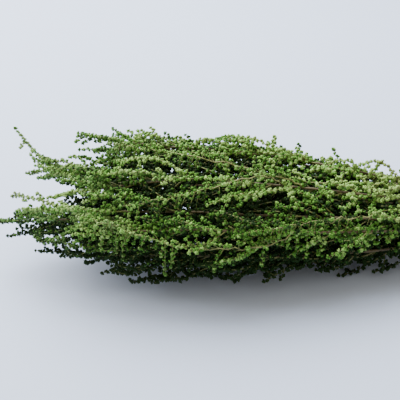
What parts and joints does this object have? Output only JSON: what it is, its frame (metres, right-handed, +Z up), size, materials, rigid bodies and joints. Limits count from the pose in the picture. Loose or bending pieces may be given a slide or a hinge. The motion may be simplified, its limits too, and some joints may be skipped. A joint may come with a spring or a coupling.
{
  "type": "preserved stoebe",
  "caption": "Tied bunch of cut, preserved evergreen foliage lying on its side: slender stems fan out from an elastic band into a long plume of fine twigs set with tiny round leaf tufts.",
  "frame": {"origin": "middle of the bunch's footprint on the surface that it lies on", "axes": "+X along the bunch towards the cut ends, the tips point to -X; +Y across it, to its back; +Z up"},
  "size_m": [0.533, 0.1834, 0.1109],
  "materials": {
    "leaf_tufts": "matte",
    "stem_wood": "matte",
    "elastic_band": "matte"
  },
  "bodies": {
    "root": {"leafy_stem_01": "leaf_tufts", "leafy_stem_02": "leaf_tufts", "leafy_stem_03": "leaf_tufts", "leafy_stem_04": "leaf_tufts", "leafy_stem_05": "leaf_tufts", "leafy_stem_06": "leaf_tufts", "leafy_stem_07": "leaf_tufts", "leafy_stem_08": "leaf_tufts", "leafy_stem_09": "leaf_tufts", "leafy_stem_10": "leaf_tufts", "leafy_stem_11": "leaf_tufts", "leafy_stem_12": "leaf_tufts", "leafy_stem_13": "leaf_tufts", "leafy_stem_14": "leaf_tufts", "elastic_band": "elastic_band"}
  },
  "joints": []
}
